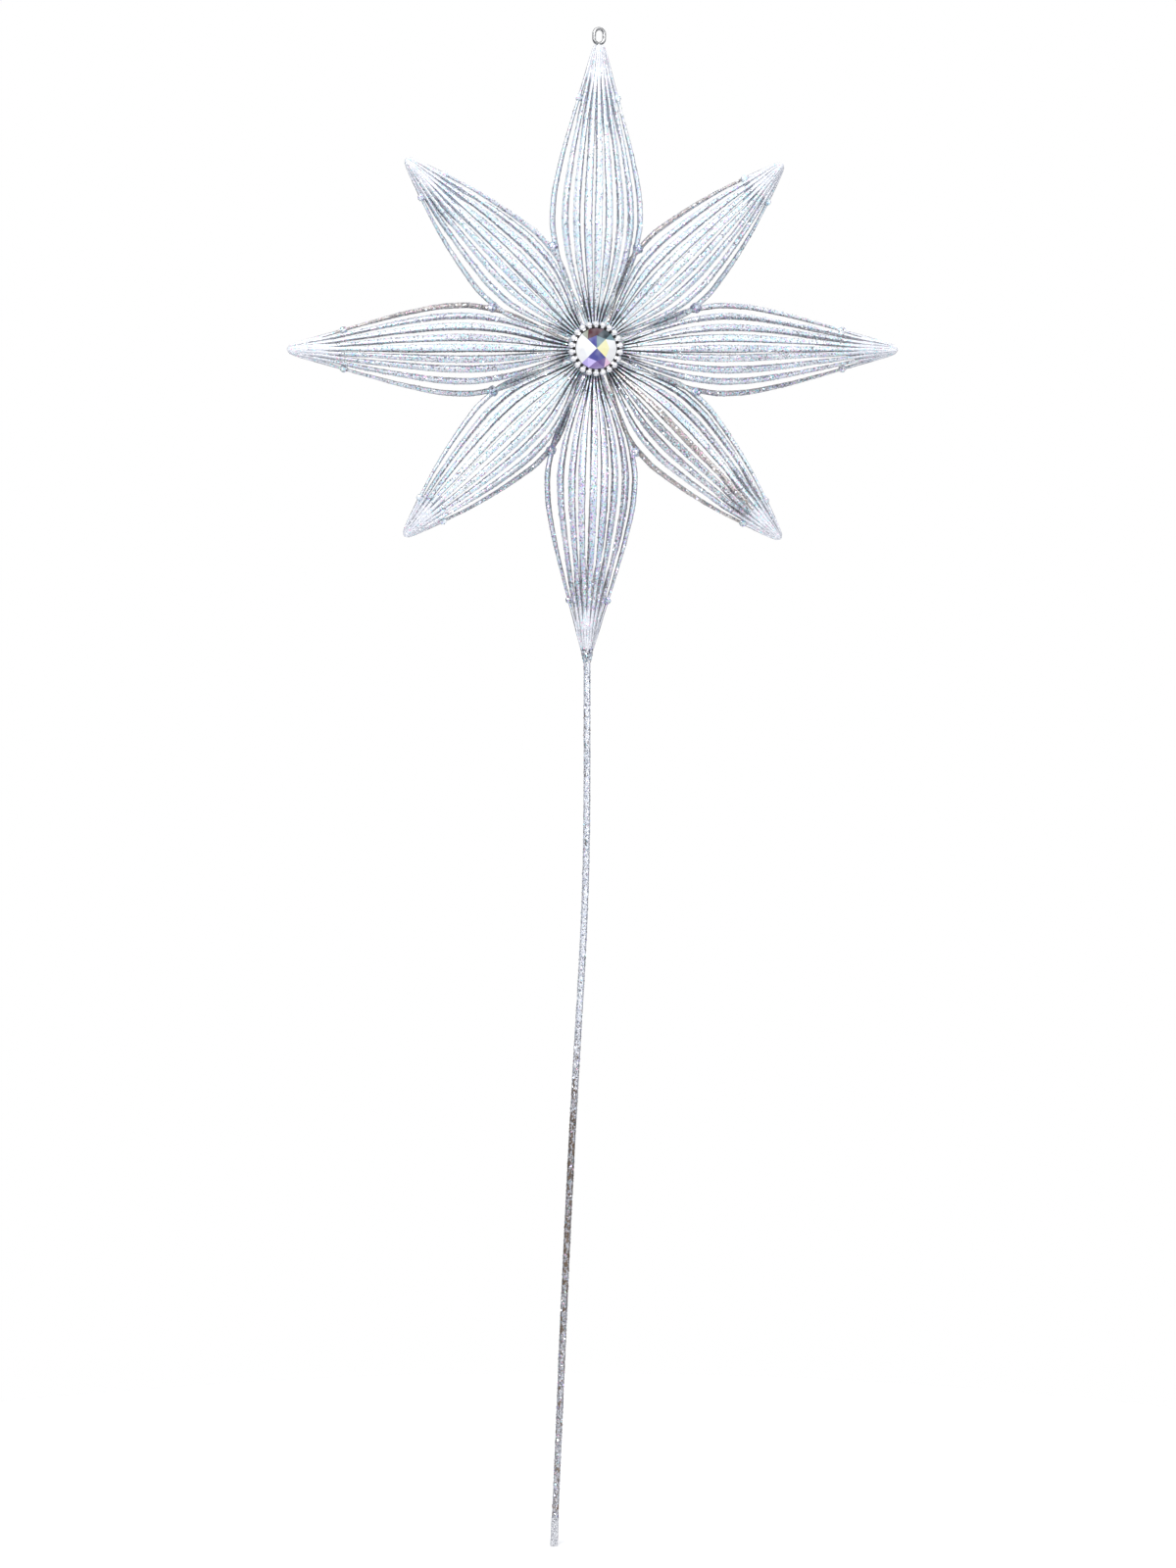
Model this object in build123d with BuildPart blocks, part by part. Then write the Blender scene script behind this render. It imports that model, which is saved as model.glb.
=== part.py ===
from build123d import *

import os
from collections import namedtuple
from math import atan2, cos, hypot, pi, radians, sin, sqrt, tan

# Openwork star flower of eight petals on a bent, sleeved wire stem, in millimetres.
# +Z is up and the flower faces -Y. The origin is the centre of the stem's foot.

# ---- Driving dimensions: petals -------------------------------------------------
# A petal is a cage of ribs in two halves, front and back, that part at y = 0.
# Distances along a petal are measured from the hub's centre.
# Bearings run clockwise from the top, seen from the front.

Cage = namedtuple("Cage", "reach belly_at belly_half_width belly_radius lug_setback")
long_cage = Cage(reach=152.5, belly_at=72.0, belly_half_width=23.4, belly_radius=60.0, lug_setback=28.0)
short_cage = Cage(reach=132.5, belly_at=80.0, belly_half_width=20.6, belly_radius=110.0, lug_setback=19.0)

petal_names = (
    "top",
    "top_right",
    "right",
    "bottom_right",
    "bottom",
    "bottom_left",
    "left",
    "top_left",
)
petal_lean = (0.9, 0.5, -0.3, 0.0, 1.4, 0.6, -0.3, 0.0)  # each petal's own turn off its even bearing

depth_share = 0.58  # a cage's depth as a share of its width
crossing_at = 50.5  # neighbouring petals run side by side from the hub to here
crossing_overshoot = 0.5  # how far the outline's corner there passes the edge of its sector
crossing_radius = 40.0
tip_half_width = 1.2
tip_length = 18.0  # the solid tip that the ribs run into
tip_core_radius = 3.0
neighbour_gap = 0.2

inner_ribs = 7  # on each half, between the two edge ribs
rib_thickness = 2.6
rib_depth = 3.2

lug_radius = 2.0  # the two halves are pegged together at lugs beside the tip
lug_thickness = 1.5
peg_radius = 0.8
peg_clearance = 0.03

# ---- Driving dimensions: hub, setting and stone ---------------------------------
hub_apothem = 12.5  # centre to the middle of one of the hub's eight sides
hub_half_thickness = 5.5
root_clearance = 0.2
tenon_half_width = 2.0
tenon_length = 3.0
tenon_thickness = 2.0
slot_clearance = 0.2

pin_radius = 2.0
pin_clearance = 0.03
pin_head_radius = 3.4
pin_head_height = 1.6

setting_base_thickness = 1.2
setting_wall = 1.5
setting_wall_height = 3.0
bead_count = 22
bead_radius = 1.65
bead_stand_off = 0.25  # from the stone's seat to the beads
setting_base_rim = 0.4  # how far the base reaches past the beads' centres

stone_radius = 10.2
stone_clearance = 0.1
stone_back_radius = 8.0
stone_back_height = 1.6
stone_table_radius = 6.4
stone_crown_height = 2.6
stone_point_radius = 0.3
stone_point_height = 1.2
stone_sides = 16
adhesive_radius = 7.6
adhesive_thickness = 0.4

bond_radius = 2.4  # drops of cement that join neighbouring petals

# ---- Driving dimensions: hanging eye --------------------------------------------
eye_wire_radius = 0.9
eye_half_width = 2.5  # to the wire's centre line
eye_straight = 2.4
eye_shank_length = 6.0
eye_shank_clearance = 0.02
eye_tip_cut = 2.2  # how much of the top petal's point is cut off for the eye

# ---- Driving dimensions: stem ---------------------------------------------------
stem_lower_lean = 2.43  # degrees off upright, from the foot to the lower bend
stem_middle_lean = 3.4  # degrees off upright, between the bends
lower_bend_height = 184.0
upper_bend_height = 332.0
stem_height = 441.5  # foot to the underside of the collar
wire_radius = 1.0
sleeve_radius = 1.75
sleeve_clearance = 0.02
end_cap_wall = 0.2
end_cap_length = 14.0
end_cap_floor = 1.0

collar_height = 6.6
collar_foot_radius = 1.9
collar_top_radius = 3.3
running_clearance = 0.05  # radial, between the wire and what turns or slides on it
seat_gap = 0.1
socket_depth = 22.5
socket_wall = 1.15
socket_end_wall = 1.2
socket_bond_gap = 0.02
bottom_tip_cut = 4.2  # how much of the bottom petal's point is cut off above the collar

# ---- Derived places -------------------------------------------------------------
petal_count = len(petal_names)
half_sector = 180 / petal_count
bearings = [360 / petal_count * index + lean for index, lean in enumerate(petal_lean)]
cages = [long_cage if index % 2 == 0 else short_cage for index in range(petal_count)]
top = petal_names.index("top")
bottom = petal_names.index("bottom")
sides = (1, -1)  # front and back
front = Vector(0, -1, 0)


def petal_axis(bearing):
    """Unit vector from the hub to the tip of the petal at this bearing."""
    return Vector(sin(radians(bearing)), 0, cos(radians(bearing)))


middle_run_height = upper_bend_height - lower_bend_height
lower_bend_x = lower_bend_height * tan(radians(stem_lower_lean))
upper_bend_x = lower_bend_x + middle_run_height * tan(radians(stem_middle_lean))
collar_foot = Vector(upper_bend_x, 0, stem_height)
flower_foot = collar_foot + Vector(0, 0, collar_height + seat_gap)
hub_centre = flower_foot - petal_axis(bearings[bottom]) * (long_cage.reach - bottom_tip_cut)

root_at = hub_apothem + root_clearance
root_half_width = hub_apothem * tan(radians(half_sector)) - 2 * root_clearance
flower_foot_plane = Plane(origin=flower_foot)

eye_base = hub_centre + petal_axis(bearings[top]) * (long_cage.reach - eye_tip_cut)
eye_base_plane = Plane(origin=eye_base, z_dir=petal_axis(bearings[top]))

socket_radius = wire_radius + running_clearance + socket_wall
socket_length = socket_depth + socket_end_wall


def front_plane(depth):
    """Plane across the hub's axis, facing forward, this far in front of the parting plane."""
    return Plane(origin=hub_centre + front * depth, x_dir=(1, 0, 0), z_dir=front)


# ---- Petals ---------------------------------------------------------------------


def parting_plane(bearing, side):
    """The plane y = 0 with x along the petal, facing the outside of this half."""
    return Plane(origin=hub_centre, x_dir=petal_axis(bearing), z_dir=front * side)


def rib_plane(bearing, angle, side):
    """Plane through a petal's axis: x runs to the tip and y points at the rib."""
    along = petal_axis(bearing)
    across = front.cross(along)
    outward = across * cos(angle) + front * (side * sin(angle))
    return Plane(origin=hub_centre, x_dir=along, z_dir=along.cross(outward))


def sector_edge(index, turn):
    """Plane midway to the next (turn 1) or last (turn -1) petal, facing into this one's sector."""
    neighbour = index + turn
    lap = 360 * (neighbour // petal_count)
    middle = (bearings[index] + bearings[neighbour % petal_count] + lap) / 2
    inward = petal_axis(middle - 90 * turn)
    return Plane(origin=hub_centre + inward * (neighbour_gap / 2), z_dir=inward)


def rib_face(plane, cage, spread):
    """Side view of one rib: a curved strip that fills in to the axis at root and tip."""
    crossing_half_width = crossing_at * tan(radians(half_sector)) + crossing_overshoot
    bends = [crossing_radius, cage.belly_radius]
    outer_points = [
        (root_at, root_half_width * spread),
        (crossing_at, crossing_half_width * spread),
        (cage.belly_at, cage.belly_half_width * spread),
        (cage.reach, tip_half_width * spread),
    ]
    inner_points = [(along, away - rib_depth) for along, away in outer_points[1:-1]]
    with BuildSketch(plane) as strip:
        with BuildLine():
            outer = FilletPolyline(*outer_points, radius=bends)
            inner = FilletPolyline((root_at, 0), *inner_points, (cage.reach - tip_length, 0), radius=bends)
            Line(outer @ 0, inner @ 0)
            Polyline(outer @ 1, (cage.reach, 0), inner @ 1)
        make_face()
    return strip.sketch


def petal_half(index, side):
    """Front (side 1) or back (side -1) half of one petal."""
    bearing = bearings[index]
    cage = cages[index]
    parting = parting_plane(bearing, side)
    tip_slope = (cage.belly_half_width - tip_half_width) / (cage.reach - cage.belly_at)
    lug_offset = tip_half_width + tip_slope * cage.lug_setback
    lug_places = [(cage.reach - cage.lug_setback, offset) for offset in (lug_offset, -lug_offset)]
    tip_base_at = cage.reach - tip_length
    tip_shoulder = (cage.reach - tip_half_width, tip_half_width)
    with BuildPart() as half:
        for step in range(1, inner_ribs + 1):
            across = 1 - 2 * step / (inner_ribs + 1)
            forward = depth_share * sqrt(1 - across**2)
            inner_plane = rib_plane(bearing, atan2(forward, across), side)
            extrude(rib_face(inner_plane, cage, hypot(across, forward)), rib_thickness / 2, both=True)
        for edge_angle in (0, pi):
            edge_plane = rib_plane(bearing, edge_angle, side)
            extrude(rib_face(edge_plane, cage, 1), rib_thickness / 2, both=True)
        with BuildSketch(parting):
            with BuildLine():
                Polyline((cage.reach, 0), (tip_base_at, 0), (tip_base_at, tip_core_radius), tip_shoulder)
                RadiusArc(tip_shoulder, (cage.reach, 0), tip_half_width)
            make_face()
        revolve(axis=Axis(hub_centre, parting.x_dir))
        split(bisect_by=parting, keep=Keep.TOP)
        with BuildSketch(parting):
            with Locations((root_at - tenon_length / 2, 0)):
                Rectangle(tenon_length, 2 * tenon_half_width)
        extrude(amount=tenon_thickness)
        with BuildSketch(parting):
            with Locations(*lug_places):
                Circle(lug_radius)
        extrude(amount=lug_thickness)
        for turn in (1, -1):
            split(bisect_by=sector_edge(index, turn), keep=Keep.TOP)
        with BuildSketch(parting):
            with Locations(*lug_places):
                Circle(peg_radius if side > 0 else peg_radius + peg_clearance)
        if side > 0:
            extrude(amount=peg_clearance - lug_thickness)
        else:
            extrude(amount=lug_thickness, mode=Mode.SUBTRACT)
        if index == bottom:
            split(bisect_by=flower_foot_plane, keep=Keep.TOP)
            with BuildSketch(flower_foot_plane):
                Circle(socket_radius + socket_bond_gap)
            extrude(amount=socket_length + socket_bond_gap, mode=Mode.SUBTRACT)
        if index == top:
            split(bisect_by=eye_base_plane, keep=Keep.BOTTOM)
            with BuildSketch(eye_base_plane):
                Circle(eye_wire_radius + eye_shank_clearance)
            extrude(amount=-(eye_shank_length + eye_shank_clearance), mode=Mode.SUBTRACT)
    half.part.label = f"{'front' if side > 0 else 'back'}_petal_{petal_names[index]}"
    return half


petal_halves = {(index, side): petal_half(index, side) for index in range(petal_count) for side in sides}

# ---- Hub ------------------------------------------------------------------------


def hub_half(side):
    """Eight-sided boss with a slot in each side for a petal's tenon and a bore for the pin."""
    slot_length = tenon_length + slot_clearance
    with BuildPart() as half:
        with BuildSketch(Plane(origin=hub_centre, x_dir=(1, 0, 0), z_dir=front * side)):
            RegularPolygon(hub_apothem, petal_count, major_radius=False, rotation=half_sector)
            Circle(pin_radius + pin_clearance, mode=Mode.SUBTRACT)
        extrude(amount=hub_half_thickness)
        for bearing in bearings:
            with BuildSketch(parting_plane(bearing, side)):
                with Locations((root_at - slot_length / 2, 0)):
                    Rectangle(slot_length, 2 * (tenon_half_width + slot_clearance))
            extrude(amount=tenon_thickness + slot_clearance, mode=Mode.SUBTRACT)
    return half


front_hub = hub_half(1)
front_hub.part.label = "front_hub"
back_hub = hub_half(-1)
back_hub.part.label = "back_hub"

setting_front = hub_half_thickness + setting_base_thickness

with BuildPart() as centre_pin:
    with BuildSketch(front_plane(setting_front)):
        Circle(pin_radius)
    extrude(amount=-(setting_front + hub_half_thickness))
    with BuildSketch(front_plane(-hub_half_thickness)):
        Circle(pin_head_radius)
    extrude(amount=-pin_head_height)
    fillet(centre_pin.edges().sort_by(Axis.Y)[-1], pin_head_height / 2)
centre_pin.part.label = "centre_pin"

# ---- Beaded setting, adhesive and stone -------------------------------------------
seat_radius = stone_radius + stone_clearance
bead_ring_radius = seat_radius + bead_stand_off + bead_radius
bead_depth = setting_front + setting_wall_height / 2

with BuildPart() as stone_setting:
    with BuildSketch(front_plane(hub_half_thickness)):
        Circle(bead_ring_radius + setting_base_rim)
        Circle(pin_radius + pin_clearance, mode=Mode.SUBTRACT)
    extrude(amount=setting_base_thickness)
    with BuildSketch(front_plane(setting_front)):
        Circle(seat_radius + setting_wall)
        Circle(seat_radius, mode=Mode.SUBTRACT)
    extrude(amount=setting_wall_height)
    with Locations(front_plane(bead_depth)):
        with PolarLocations(bead_ring_radius, bead_count):
            Sphere(bead_radius)
stone_setting.part.label = "stone_setting"

with BuildPart() as stone_adhesive:
    with BuildSketch(front_plane(setting_front)):
        Circle(adhesive_radius)
    extrude(amount=adhesive_thickness)
stone_adhesive.part.label = "stone_adhesive"

stone_back = setting_front + adhesive_thickness
stone_girdle = stone_back + stone_back_height
stone_table = stone_girdle + stone_crown_height
stone_point = stone_table + stone_point_height
stone_tiers = (
    (stone_back, stone_back_radius),
    (stone_girdle, stone_radius),
    (stone_table, stone_table_radius),
    (stone_point, stone_point_radius),
)

with BuildPart() as centre_stone:
    for (lower_depth, lower_radius), (upper_depth, upper_radius) in zip(stone_tiers, stone_tiers[1:]):
        with BuildSketch(front_plane(lower_depth)):
            RegularPolygon(lower_radius, stone_sides)
        with BuildSketch(front_plane(upper_depth)):
            RegularPolygon(upper_radius, stone_sides)
        loft()
centre_stone.part.label = "centre_stone"

# ---- Drops of cement where neighbouring petals meet -------------------------------
bond_distance = crossing_at / cos(radians(half_sector))

with BuildPart() as petal_bonds:
    for index in range(petal_count):
        edge_plane = sector_edge(index, 1)
        along_edge = front.cross(edge_plane.z_dir)
        with Locations(hub_centre + along_edge * bond_distance):
            Sphere(bond_radius)
    for half in petal_halves.values():
        add(half.part, mode=Mode.SUBTRACT)
petal_bonds.part.label = "petal_bonds"

# ---- Hanging eye ------------------------------------------------------------------
eye_low = eye_wire_radius + eye_half_width
eye_high = eye_low + eye_straight
eye_plane = Plane(origin=eye_base, x_dir=eye_base_plane.z_dir.cross(front), z_dir=front)

with BuildPart() as hanging_eye:
    with BuildLine(eye_plane) as eye_loop:
        Line((eye_half_width, eye_low), (eye_half_width, eye_high))
        CenterArc((0, eye_high), eye_half_width, 0, 180)
        Line((-eye_half_width, eye_high), (-eye_half_width, eye_low))
        CenterArc((0, eye_low), eye_half_width, 180, 180)
    eye_wire = eye_loop.wire()
    with BuildSketch(Plane(origin=eye_wire @ 0, z_dir=eye_wire % 0)):
        Circle(eye_wire_radius)
    sweep(path=eye_wire)
    with BuildSketch(eye_base_plane.offset(eye_wire_radius)):
        Circle(eye_wire_radius)
    extrude(amount=-(eye_wire_radius + eye_shank_length))
hanging_eye.part.label = "hanging_eye"

# ---- Stem -------------------------------------------------------------------------
lower_direction = Vector(sin(radians(stem_lower_lean)), 0, cos(radians(stem_lower_lean)))
lower_bend = (lower_bend_x, lower_bend_height)
upper_bend = (upper_bend_x, upper_bend_height)
sleeve_foot = lower_direction * end_cap_floor
sleeve_top = stem_height - seat_gap
wire_top = flower_foot.Z + socket_depth - seat_gap

lower_turn = stem_middle_lean - stem_lower_lean
upper_run_height = stem_height - upper_bend_height
lower_bend_arc = 0.45 * middle_run_height / tan(radians(lower_turn / 2))
upper_bend_arc = 0.45 * upper_run_height / tan(radians(stem_middle_lean / 2))


def stem_path(top_height):
    """Centre line from just above the foot, by straight runs and tangent arcs, to this height."""
    with BuildLine(Plane.XZ) as path:
        FilletPolyline(
            (sleeve_foot.X, sleeve_foot.Z),
            lower_bend,
            upper_bend,
            (upper_bend_x, top_height),
            radius=[lower_bend_arc, upper_bend_arc],
        )
    return path.wire()


wire_path = stem_path(wire_top)
sleeve_path = stem_path(sleeve_top)

with BuildPart() as stem_wire:
    with BuildSketch(Plane(origin=wire_path @ 0, z_dir=wire_path % 0)):
        Circle(wire_radius)
    sweep(path=wire_path)
stem_wire.part.label = "stem_wire"

with BuildPart() as stem_sleeve:
    with BuildSketch(Plane(origin=sleeve_path @ 0, z_dir=sleeve_path % 0)):
        Circle(sleeve_radius)
        Circle(wire_radius + sleeve_clearance, mode=Mode.SUBTRACT)
    sweep(path=sleeve_path)
stem_sleeve.part.label = "stem_sleeve"

with BuildPart() as stem_end_cap:
    with BuildSketch(Plane(origin=(0, 0, 0), z_dir=lower_direction)):
        Circle(sleeve_radius + sleeve_clearance + end_cap_wall)
    extrude(amount=end_cap_length)
    with BuildSketch(Plane(origin=sleeve_foot, z_dir=lower_direction)):
        Circle(sleeve_radius + sleeve_clearance)
    extrude(amount=end_cap_length, mode=Mode.SUBTRACT)
stem_end_cap.part.label = "stem_end_cap"

# ---- Collar and socket --------------------------------------------------------------
with BuildPart() as stem_collar:
    with BuildSketch(Plane(origin=collar_foot)):
        Circle(collar_foot_radius)
    with BuildSketch(Plane(origin=collar_foot + Vector(0, 0, collar_height))):
        Circle(collar_top_radius)
    loft()
    with BuildSketch(Plane(origin=collar_foot)):
        Circle(wire_radius + running_clearance)
    extrude(amount=collar_height, mode=Mode.SUBTRACT)
stem_collar.part.label = "stem_collar"

with BuildPart() as stem_socket:
    with BuildSketch(flower_foot_plane):
        Circle(socket_radius)
    extrude(amount=socket_length)
    with BuildSketch(flower_foot_plane):
        Circle(wire_radius + running_clearance)
    extrude(amount=socket_depth, mode=Mode.SUBTRACT)
stem_socket.part.label = "stem_socket"

# ---- Export -------------------------------------------------------------------------
pieces = [half.part for half in petal_halves.values()]
pieces += [front_hub.part, back_hub.part, centre_pin.part]
pieces += [stone_setting.part, stone_adhesive.part, centre_stone.part]
pieces += [petal_bonds.part, hanging_eye.part, stem_socket.part, stem_collar.part]
pieces += [stem_wire.part, stem_sleeve.part, stem_end_cap.part]

os.makedirs("parts", exist_ok=True)
for piece in pieces:
    export_step(piece, f"parts/{piece.label}.step")

print("hub centre", hub_centre, "eye base", eye_base, "flower foot", flower_foot)
print("stem bend radii", lower_bend_arc, upper_bend_arc)
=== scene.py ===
import math

import bpy
import numpy as np
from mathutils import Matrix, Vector
from mathutils.bvhtree import BVHTree


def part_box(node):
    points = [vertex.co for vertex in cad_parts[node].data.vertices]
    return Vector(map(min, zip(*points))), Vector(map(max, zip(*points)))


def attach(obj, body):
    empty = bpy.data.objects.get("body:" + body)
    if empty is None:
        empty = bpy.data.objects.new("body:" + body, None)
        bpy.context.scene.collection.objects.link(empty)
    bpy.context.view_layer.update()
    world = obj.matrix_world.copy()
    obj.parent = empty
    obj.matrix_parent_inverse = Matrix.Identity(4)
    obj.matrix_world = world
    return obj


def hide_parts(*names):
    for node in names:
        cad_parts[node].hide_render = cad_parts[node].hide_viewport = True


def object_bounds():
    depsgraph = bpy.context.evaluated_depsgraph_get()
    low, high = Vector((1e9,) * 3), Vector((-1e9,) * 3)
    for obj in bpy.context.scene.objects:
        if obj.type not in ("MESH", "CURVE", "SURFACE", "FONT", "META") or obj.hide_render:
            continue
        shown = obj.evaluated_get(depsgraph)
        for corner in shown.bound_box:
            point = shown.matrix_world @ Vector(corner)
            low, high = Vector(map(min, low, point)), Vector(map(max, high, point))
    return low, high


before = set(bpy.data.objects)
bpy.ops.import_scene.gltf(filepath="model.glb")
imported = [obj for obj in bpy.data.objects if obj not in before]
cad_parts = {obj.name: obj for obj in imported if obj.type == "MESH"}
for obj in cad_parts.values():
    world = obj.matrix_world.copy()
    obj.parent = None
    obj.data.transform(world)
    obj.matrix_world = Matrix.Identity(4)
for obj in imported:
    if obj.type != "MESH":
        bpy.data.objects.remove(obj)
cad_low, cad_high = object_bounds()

# Looks of an openwork, glittered star flower pick. Metres, in the CAD model's frame:
# +Z is up, the flower faces -Y, and the origin is the centre of the stem's foot.

MM = 0.001

# ---- Places, from the frame -----------------------------------------------------

petal_names = ("top", "top_right", "right", "bottom_right", "bottom", "bottom_left", "left", "top_left")
LONG_PETALS = petal_names[::2]
hub_low, hub_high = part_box("front_hub")
hub = np.array([(hub_low.x + hub_high.x) / 2, 0.0, (hub_low.z + hub_high.z) / 2])
front = np.array([0.0, -1.0, 0.0])


def node_points(node):
    """The vertices of a CAD node at rest."""
    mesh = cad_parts[node].data
    flat = np.empty(len(mesh.vertices) * 3)
    mesh.vertices.foreach_get("co", flat)
    return flat.reshape(-1, 3)


def unit(v):
    return v / np.linalg.norm(v, axis=-1, keepdims=True)


# ---- Petal sizes ------------------------------------------------------------------
# Half width of a petal at distances from the hub's centre, in millimetres.
OUTLINES = {
    "long": (
        (12.7, 4.8), (50.5, 21.2), (64.0, 23.2), (73.0, 22.8), (93.0, 19.1),
        (112.0, 13.9), (132.0, 8.1), (143.0, 5.0), (149.5, 2.9), (151.7, 1.7), (152.4, 0.5),
    ),
    "short": (
        (12.7, 4.8), (50.5, 21.2), (60.0, 21.6), (70.0, 20.3), (82.0, 18.0),
        (96.0, 14.5), (112.0, 9.4), (122.0, 5.9), (129.3, 3.0), (131.7, 1.7), (132.4, 0.5),
    ),
}
DEPTH_SHARE = 0.58  # a cage's depth as a share of its width
RIB_COUNT = 9  # on each half, the two edge ribs included
RIB_SIDES, EDGE_SIDES = 12, 8
RIB_STEPS = 100
RIB_SHARE = {1: 0.60, -1: 0.42}  # front and back rib widths as shares of the ribs' spacing
RIB_DEPTH, LEAST_DEPTH = 0.8, 1.5  # a rib's depth as a share of its width, and the least it may be
TIP_SHARE = 0.90  # rib width as a share of the spacing where the ribs run together at the tip
LOOSE_TO = 0.62  # ribs stray freely up to this share of the petal's length
TIP_FROM, TIP_FULL = 0.80, 0.90  # shares of the length between which the ribs run together
PLAIN_FROM = 0.84  # the share of the length where the glitter ends
CORE_FROM, CORE_FULL = 30.0, 16.0  # how far before the end the tip's core begins and is full grown
CORE_FILL = 0.86  # the core's width as a share of the outline's
SEAM = 0.03  # half the gap between a petal's halves, as a share of their thickness
LUG_SETBACK = {"long": 28.0, "short": 19.0}  # from the petal's end to its lugs
LUG_RADIUS, LUG_THICKNESS, LUG_INSET = 1.75, 1.4, 0.9
LEAN = {1: 0.45, -1: 1.2}  # how far whole front and back ribs stray sideways
WAVE_LENGTH, WAVE = 22.0, 0.22  # how each rib waves on top of that
LEAN_GROWS, WAVE_GROWS = 25.0, 20.0  # over how far from the hub they come in
GRAIN = 0.05  # how much a rib's thickness varies from ring to ring
EDGE_THICKEST = 3.0
BACK_SHIFT = np.array([0.104, 0.0, 0.056])  # how far back ribs sit right of and above front ones, per depth
TOP_LEVEL, INNER_LEVEL = 0.38, -0.25  # how squarely outwards a rib's top looks at least, its inside at most
EDGE_TOP, PLAIN_EDGE_TOP, EDGE_INNER = 0.45, 0.75, -0.6  # the same for edge ribs
FLAKE = 0.34  # a glitter flake's radius


def smooth_curve(points):
    """Monotone cubic interpolation of an outline given as (distance, half width) pairs."""
    x, y = np.array(points).T
    h, slope = np.diff(x), np.diff(y) / np.diff(x)
    tangent = np.empty_like(y)
    tangent[0], tangent[-1] = slope[0], slope[-1]
    same = slope[1:] * slope[:-1] > 0
    w1, w2 = 2 * h[1:] + h[:-1], h[1:] + 2 * h[:-1]
    safe = np.where(same, slope[1:] * slope[:-1], 1)
    mean = (w1 + w2) * safe / (w1 * slope[1:] + w2 * slope[:-1] + (~same))
    tangent[1:-1] = np.where(same, mean, 0)

    def at(s):
        s = np.clip(s, x[0], x[-1])
        i = np.clip(np.searchsorted(x, s) - 1, 0, len(h) - 1)
        t = (s - x[i]) / h[i]
        a, b = 2 * t**3 - 3 * t**2 + 1, t**3 - 2 * t**2 + t
        c, d = -2 * t**3 + 3 * t**2, t**3 - t**2
        return a * y[i] + b * h[i] * tangent[i] + c * y[i + 1] + d * h[i] * tangent[i + 1]

    return at


def step_up(x, low, high):
    """0 up to low, 1 from high on, and smooth between them."""
    t = np.clip((x - low) / (high - low), 0, 1)
    return t * t * (3 - 2 * t)


def wobble(s, scale, random):
    """Values along s between random ones from -1 to 1 that lie this far apart."""
    knots = np.arange(0, s.max() / scale + 4)
    values = random.uniform(-1, 1, len(knots))
    return np.interp(s / scale, knots, values)


# ---- Mesh building ------------------------------------------------------------------


class Shape:
    """Collects points and faces for one mesh. Lengths are in millimetres until build()."""

    def __init__(self):
        self.points, self.groups, self.count = [], [], 0

    def add(self, points, faces, material=0, smooth=True):
        self.points.append(np.asarray(points, float))
        self.count += len(points)
        self.add_faces(faces, material, smooth)

    def add_faces(self, faces, material=0, smooth=True):
        """More faces between the points that were added last."""
        faces = np.asarray(faces, int)
        material = np.broadcast_to(np.asarray(material, int), len(faces))
        self.groups.append((faces + self.count - len(self.points[-1]), material, smooth))

    def build(self, name, materials):
        points = np.concatenate(self.points) * MM
        sizes = np.concatenate([np.full(len(f), f.shape[1]) for f, _, _ in self.groups])
        corners = np.concatenate([f.ravel() for f, _, _ in self.groups])
        slots = np.concatenate([m for _, m, _ in self.groups])
        smooth = np.concatenate([np.full(len(f), s) for f, _, s in self.groups])
        starts = np.concatenate([[0], np.cumsum(sizes)[:-1]])
        mesh = bpy.data.meshes.new(name)
        mesh.vertices.add(len(points))
        mesh.vertices.foreach_set("co", points.astype(np.float32).ravel())
        mesh.loops.add(len(corners))
        mesh.loops.foreach_set("vertex_index", corners.astype(np.int32))
        mesh.polygons.add(len(sizes))
        mesh.polygons.foreach_set("loop_start", starts.astype(np.int32))
        mesh.polygons.foreach_set("material_index", slots.astype(np.int32))
        mesh.polygons.foreach_set("use_smooth", smooth)
        mesh.update(calc_edges=True)
        mesh.validate()
        for material in materials:
            mesh.materials.append(material)
        piece = bpy.data.objects.new(name, mesh)
        bpy.context.scene.collection.objects.link(piece)
        return piece


def tube_faces(rings, sides):
    """Quads between rings of points, with all rings closed."""
    ring, side = np.meshgrid(np.arange(rings - 1), np.arange(sides), indexing="ij")
    a = (ring * sides + side).ravel()
    b = (ring * sides + (side + 1) % sides).ravel()
    return np.stack([a, b, b + sides, a + sides], axis=1)


def join_ends(rings, sides):
    """Quads from the last ring back to the first."""
    first, following = np.arange(sides), (np.arange(sides) + 1) % sides
    last = (rings - 1) * sides
    return np.stack([last + first, last + following, following, first], 1)


def circle(sides):
    """Unit vectors around Z, one for each side."""
    turn = np.arange(sides) * 2 * np.pi / sides
    return np.stack([np.cos(turn), np.sin(turn), np.zeros(sides)], 1)


def quad_normals(corner):
    """Normals of quads, as long as twice each quad's area."""
    return np.cross(corner[:, 2] - corner[:, 0], corner[:, 3] - corner[:, 1])


def outward_quads(points, faces, inside):
    """The quads turned to look away from the points inside, with their corners and normals."""
    corner = points[faces]
    normal = quad_normals(corner)
    if (normal * (corner.mean(1) - inside)).sum() < 0:
        return faces[:, ::-1], corner, -normal
    return faces, corner, normal


def convex_faces(points, faces):
    """The flat faces of a convex solid, each turned to look outwards."""
    corner = points[np.array(faces)]
    normal = np.cross(corner[:, 1] - corner[:, 0], corner[:, 2] - corner[:, 0])
    outwards = (normal * (corner.mean(1) - points.mean(0))).sum(1) > 0
    return [face if good else face[::-1] for face, good in zip(faces, outwards)]


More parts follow.
